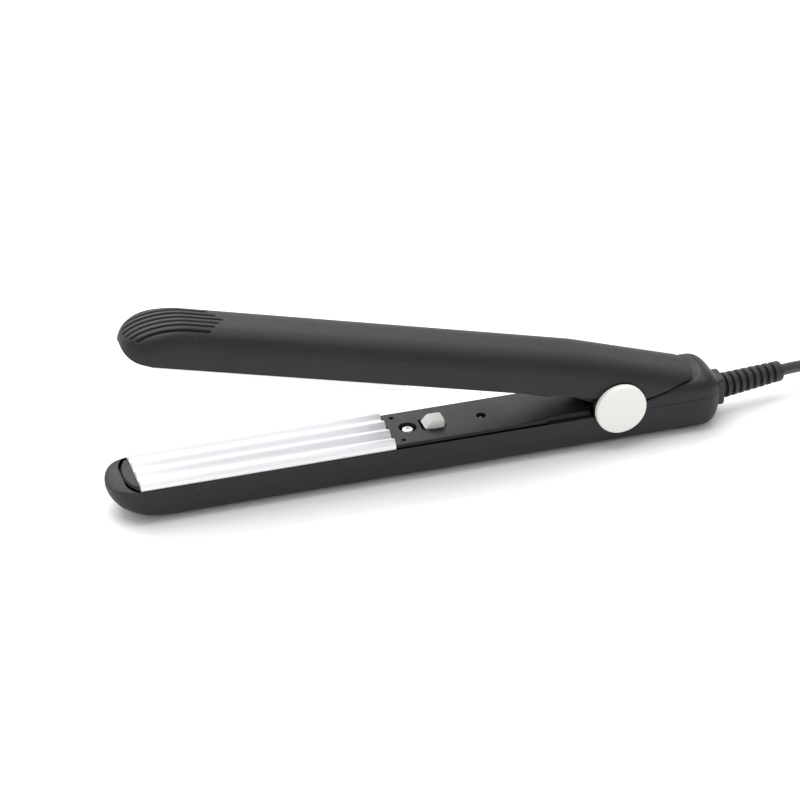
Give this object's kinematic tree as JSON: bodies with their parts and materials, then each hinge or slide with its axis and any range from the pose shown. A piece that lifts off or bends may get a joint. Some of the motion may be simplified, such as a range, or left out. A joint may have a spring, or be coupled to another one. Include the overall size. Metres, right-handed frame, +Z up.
{
  "type": "hair crimper",
  "caption": "Slim hair crimper with two sprung arms, corrugated metal plates, a slide switch, round hinge caps and a mains lead folded into a tied hank.",
  "frame": {"origin": "middle of the iron's length and width, on the surface that the lower arm lies on; the lead, its hank and plug are left out of that box", "axes": "+X from the noses to the lead, +Y to the far side, +Z up out of the lower arm's plate side"},
  "size_m": [0.3745, 0.0354, 0.0642],
  "materials": {
    "shell_plastic": "fine matt moulded",
    "frame_plastic": "smooth satin moulded",
    "crimp_plate": "satin extruded",
    "cap_plastic": "satin white",
    "knob_plastic": "warm grey satin",
    "screw_zinc": "zinc plated",
    "spring_steel": "drawn wire",
    "heater_ceramic": "unglazed",
    "film": "amber film",
    "lamp_lens": "dark red, unlit",
    "board": "lacquered board",
    "brass_contact": "plain",
    "wire_sleeve": "insulated wire",
    "cord_rubber": "smooth sheath",
    "tie_strap": "matt strap",
    "plug_rubber": "moulded satin",
    "pin_plated": "nickel plated"
  },
  "bodies": {
    "lower_arm": {"lower_shell": "shell_plastic", "rear_cover": "shell_plastic", "lower_frame": "frame_plastic", "lower_plate": "crimp_plate", "lower_heater": "heater_ceramic", "lower_heater_film": "film", "lower_heater_clip": "spring_steel", "thermal_fuse": "heater_ceramic", "switch_body": "frame_plastic", "switch_terminals": "brass_contact", "indicator_lamp": "lamp_lens", "lamp_board": "board", "lower_frame_screw": "screw_zinc", "rear_cover_screws": "screw_zinc", "cord_clamp": "frame_plastic", "clamp_screws": "screw_zinc", "lower_wires": "wire_sleeve", "hinge_pin": "screw_zinc", "hinge_washers": "screw_zinc", "pivot_cap_near": "cap_plastic", "pivot_cap_far": "cap_plastic", "torsion_spring": "spring_steel", "strain_relief": "cord_rubber", "power_cord": "cord_rubber", "cord_hank": "cord_rubber", "cord_tie": "tie_strap", "plug_body": "plug_rubber", "plug_pins": "pin_plated"},
    "upper_arm": {"upper_shell": "shell_plastic", "upper_frame": "frame_plastic", "upper_plate": "crimp_plate", "upper_heater": "heater_ceramic", "upper_heater_film": "film", "upper_heater_clip": "spring_steel", "upper_frame_screw": "screw_zinc", "upper_wires": "wire_sleeve"},
    "switch": {"switch_knob": "knob_plastic"}
  },
  "joints": [
    {"name": "arm_hinge", "type": "hinge", "parent": "lower_arm", "child": "upper_arm", "pos_m": [0.0629, 0, 0.0144], "axis": [0, -1, 0], "range_deg": [0, 14.5], "stiffness_Nm_per_rad": 0.3, "springref_deg": -28.65, "deforming": ["torsion_spring"]},
    {"name": "switch_slide", "type": "slide", "parent": "lower_arm", "child": "switch", "axis": [-1, 0, 0], "range_m": [0, 0.002]}
  ]
}
